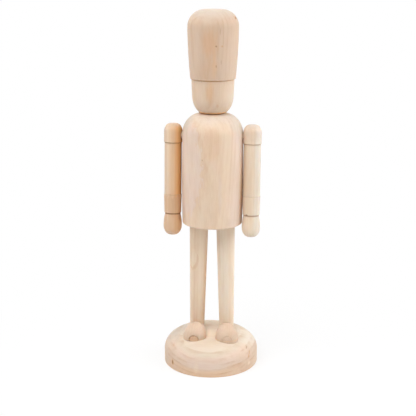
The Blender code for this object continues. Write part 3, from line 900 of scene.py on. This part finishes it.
def build_arms():
    # The orange and rust bands on the flank that faces the torso are painted shade between the arm and
    # the torso.
    right_bands = [(35.6, BEIGE), (37.5, SAND), (40, HONEY), (41.0, HONEY), (42.8, ORANGE), (44.2, RUST)]
    right_marks = [
        Mark((0, 0, -45.0), (THROUGH, THROUGH, 14.0), TAN, 0.6, 0.95),
        # Painted shade: a dark stripe down the flank that faces the torso.
        Mark((4.8, 0, -16.0), (0.7, 5.0, 22.0), BROWN, 0.7, 0.3),
        *arm_lines(0.8),
    ]
    right = wood("right_arm_grain", 13.0, right_bands, (-40, 0), end=BEIGE, marks=right_marks, wander=0.4)
    left_bands = [(36, CREAM), (41, CREAM), (42.8, IVORY), (44.5, IVORY)]
    left_marks = [
        # Painted shade: a tan stripe down the flank that faces the torso.
        Mark((-4.9, 0.5, -18.0), (0.8, 3.0, 27.0), TAN, 0.8, 0.3),
        Mark((0, -4.8, 1.0), (5.0, 3.0, 6.0), BEIGE, 0.45),
        Mark((-2.2, -3.8, -40.5), (0.8, 1.5, 0.6), BURNT, 0.8),
        *arm_lines(0.6),
    ]
    left = wood("left_arm_grain", 15.0, left_bands, (-40, 0), end=DUST, marks=left_marks,
                ring_width=1.5, ring_depth=0.2, wander=0.4)
    build_arm("right", -1, right)
    build_arm("left", 1, left)


def dress_dowels():
    bands = [(36, SAND), (40, BEIGE), (44, SAND)]
    upright = wood("dowel_grain", 17.0, bands, (-40, 0))
    crosswise = wood("shoulder_dowel_grain", 18.0, bands, (-100, -40), tilt=(0, 90, 0))
    for name, node in frame["nodes"].items():
        if name.endswith("_dowel"):
            material = crosswise if "shoulder" in name else upright
            for slot in node.material_slots:
                slot.material = material


# Studio: a pale floor that turns into the white background, and soft boxes round the figure
FLOOR_RADIUS = 3.0
FLOOR_SEGMENTS = 64
FLOOR_PAPER = (0.9, 0.9, 0.9, 1.0)
WHITE = (1.0, 1.0, 1.0, 1.0)
FLOOR_WHITE_NEAR = 0.75
FLOOR_FADE_START = 0.03
FLOOR_FADE_END = 0.14
LIGHT_DISTANCE = 0.8
LIGHT_SIZE = 0.8


def build_floor():
    source = bmesh.new()
    bmesh.ops.create_circle(source, cap_ends=True, radius=FLOOR_RADIUS, segments=FLOOR_SEGMENTS)
    mesh = bpy.data.meshes.new("floor")
    source.to_mesh(mesh)
    source.free()
    floor = bpy.data.objects.new("floor", mesh)
    bpy.context.collection.objects.link(floor)
    material = bpy.data.materials.new("floor_paper")
    material.use_nodes = True
    tree = material.node_tree
    tree.nodes.clear()
    paper = add(tree, "BsdfDiffuse", {"Color": FLOOR_PAPER})
    white = add(tree, "Emission", {"Color": WHITE, "Strength": 1.0})
    away = vector(tree, 'LENGTH', add(tree, "TexCoord").outputs["Object"])
    fade = {"Value": away, "From Min": FLOOR_FADE_START, "From Max": FLOOR_FADE_END,
            "To Min": FLOOR_WHITE_NEAR}
    share = add(tree, "MapRange", fade, interpolation_type='SMOOTHSTEP').outputs[0]
    seen = maths(tree, 'MULTIPLY', share, background_ray(tree))
    mix = add(tree, "MixShader", {0: seen, 1: paper.outputs[0], 2: white.outputs[0]})
    add(tree, "OutputMaterial", {"Surface": mix.outputs[0]})
    mesh.materials.append(material)


def background_ray(tree):
    """1 where the floor or the world is looked at, straight or through a reflection."""
    path = add(tree, "LightPath").outputs
    seen = maths(tree, 'MAXIMUM', path["Is Camera Ray"], path["Is Glossy Ray"])
    return maths(tree, 'MAXIMUM', seen, path["Is Transmission Ray"])


def build_world():
    """White where it is looked at; the light on the figure comes from the soft boxes alone."""
    world = bpy.data.worlds.new("studio")
    bpy.context.scene.world = world
    world.use_nodes = True
    tree = world.node_tree
    tree.links.new(background_ray(tree), tree.nodes["Background"].inputs["Strength"])
    tree.nodes["Background"].inputs["Color"].default_value = WHITE


def build_light(name, azimuth, elevation, level):
    """A soft box that faces the figure; azimuth in degrees to the right of the camera.

    level is how bright a white surface gets that faces the box.
    """
    lamp = bpy.data.lights.new(name, 'AREA')
    lamp.shape = 'SQUARE'
    lamp.size = LIGHT_SIZE
    lamp.energy = level * (math.pi * LIGHT_DISTANCE) ** 2
    light = bpy.data.objects.new(name, lamp)
    light.visible_camera = False
    bpy.context.collection.objects.link(light)
    side = math.radians(azimuth) + CAMERA_AZIMUTH
    rise = math.radians(elevation)
    away = Vector((math.sin(side) * math.cos(rise), -math.cos(side) * math.cos(rise), math.sin(rise)))
    target = Vector((0, 0, (cad_low.z + cad_high.z) / 2))
    light.location = target + away * LIGHT_DISTANCE
    light.rotation_euler = (-away).to_track_quat('-Z', 'Y').to_euler()


def build_lights():
    build_light("key_box", -50, 55, 1.05)
    build_light("side_box", 86, 20, 0.70)
    build_light("fill_box", 50, 55, 0.36)
    build_light("back_box", 180, 60, 0.20)
    build_light("right_rim_box", 130, 30, 0.05)
    build_light("left_rim_box", -130, 30, 0.24)


def build_camera():
    lens = bpy.data.cameras.new("camera")
    lens.sensor_width = SENSOR
    lens.lens = FOCAL_PIXELS / IMAGE_WIDTH * SENSOR
    lens.clip_start = CAMERA_NEAR
    lens.clip_end = CAMERA_FAR
    camera = bpy.data.objects.new("camera", lens)
    bpy.context.collection.objects.link(camera)
    stand = Matrix.Translation((CAMERA_SIDE, -CAMERA_REACH, CAMERA_HEIGHT))
    tilt = Matrix.Rotation(math.pi / 2 - CAMERA_TILT, 4, 'X')
    roll = Matrix.Rotation(CAMERA_ROLL, 4, 'Z')
    camera.matrix_world = Matrix.Rotation(CAMERA_AZIMUTH, 4, 'Z') @ stand @ tilt @ roll
    bpy.context.scene.camera = camera


build_camera()
build_world()
build_lights()
build_floor()
build_base()
build_legs_and_feet()
build_torso()
build_head()
build_arms()
dress_dowels()
bpy.context.scene.view_settings.view_transform = 'Standard'
